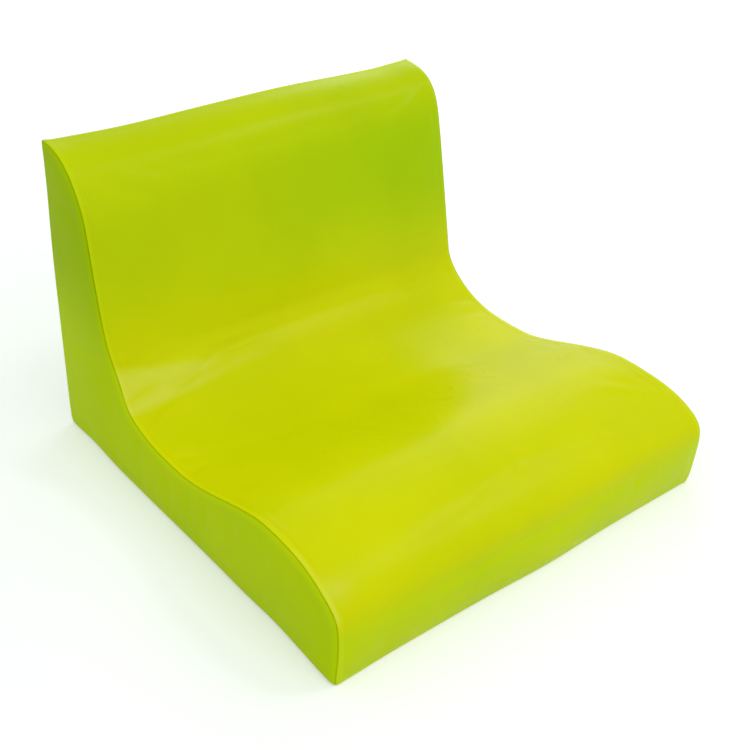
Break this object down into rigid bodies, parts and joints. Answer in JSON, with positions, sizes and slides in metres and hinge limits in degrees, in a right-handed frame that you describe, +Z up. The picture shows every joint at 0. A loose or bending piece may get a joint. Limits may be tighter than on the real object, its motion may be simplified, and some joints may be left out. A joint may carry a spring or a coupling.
{
  "type": "kids foam armchair",
  "caption": "Low armless foam chair for children with a wavy seat and backrest in a sewn, zip-off coated cloth cover.",
  "frame": {"origin": "on the floor, under the middle of the chair", "axes": "+Z up, -Y towards the front of the seat, +Y towards the rear of the backrest, X across the chair"},
  "size_m": [0.6, 0.612, 0.418],
  "materials": {
    "vinyl": "satin coated cloth",
    "base_cloth": "matt, grippy",
    "foam": "open cell foam, matt",
    "thread": "polyester thread",
    "zip_tape": "woven",
    "zip_coil": "satin nylon",
    "zip_metal": "nickel finish"
  },
  "bodies": {
    "chair": {"foam_seat_block": "foam", "foam_back_block": "foam", "cover_main_panel": "vinyl", "cover_side_panel_left": "vinyl", "cover_side_panel_right": "vinyl", "cover_rear_panel_upper": "vinyl", "cover_rear_panel_lower": "vinyl", "cover_base_panel": "base_cloth", "side_seam_thread_left": "thread", "side_seam_thread_right": "thread", "zip_stitching_upper": "thread", "zip_stitching_lower": "thread", "zip_tape_upper": "zip_tape", "zip_tape_lower": "zip_tape", "zip_coil_upper": "zip_coil", "zip_coil_lower": "zip_coil", "zip_end_stop": "zip_metal", "zip_top_stop_upper": "zip_metal", "zip_top_stop_lower": "zip_metal"},
    "slider": {"zip_slider": "zip_metal"},
    "pull_tab": {"zip_pull_tab": "zip_metal"}
  },
  "joints": [
    {"name": "zip_travel", "type": "slide", "parent": "chair", "child": "slider", "axis": [-1, 0, 0], "range_m": [0, 0.508]},
    {"name": "tab_swing", "type": "hinge", "parent": "slider", "child": "pull_tab", "pos_m": [0.2542, 0.3043, 0.062], "axis": [0, 0, -1], "range_deg": [0, 180]}
  ]
}
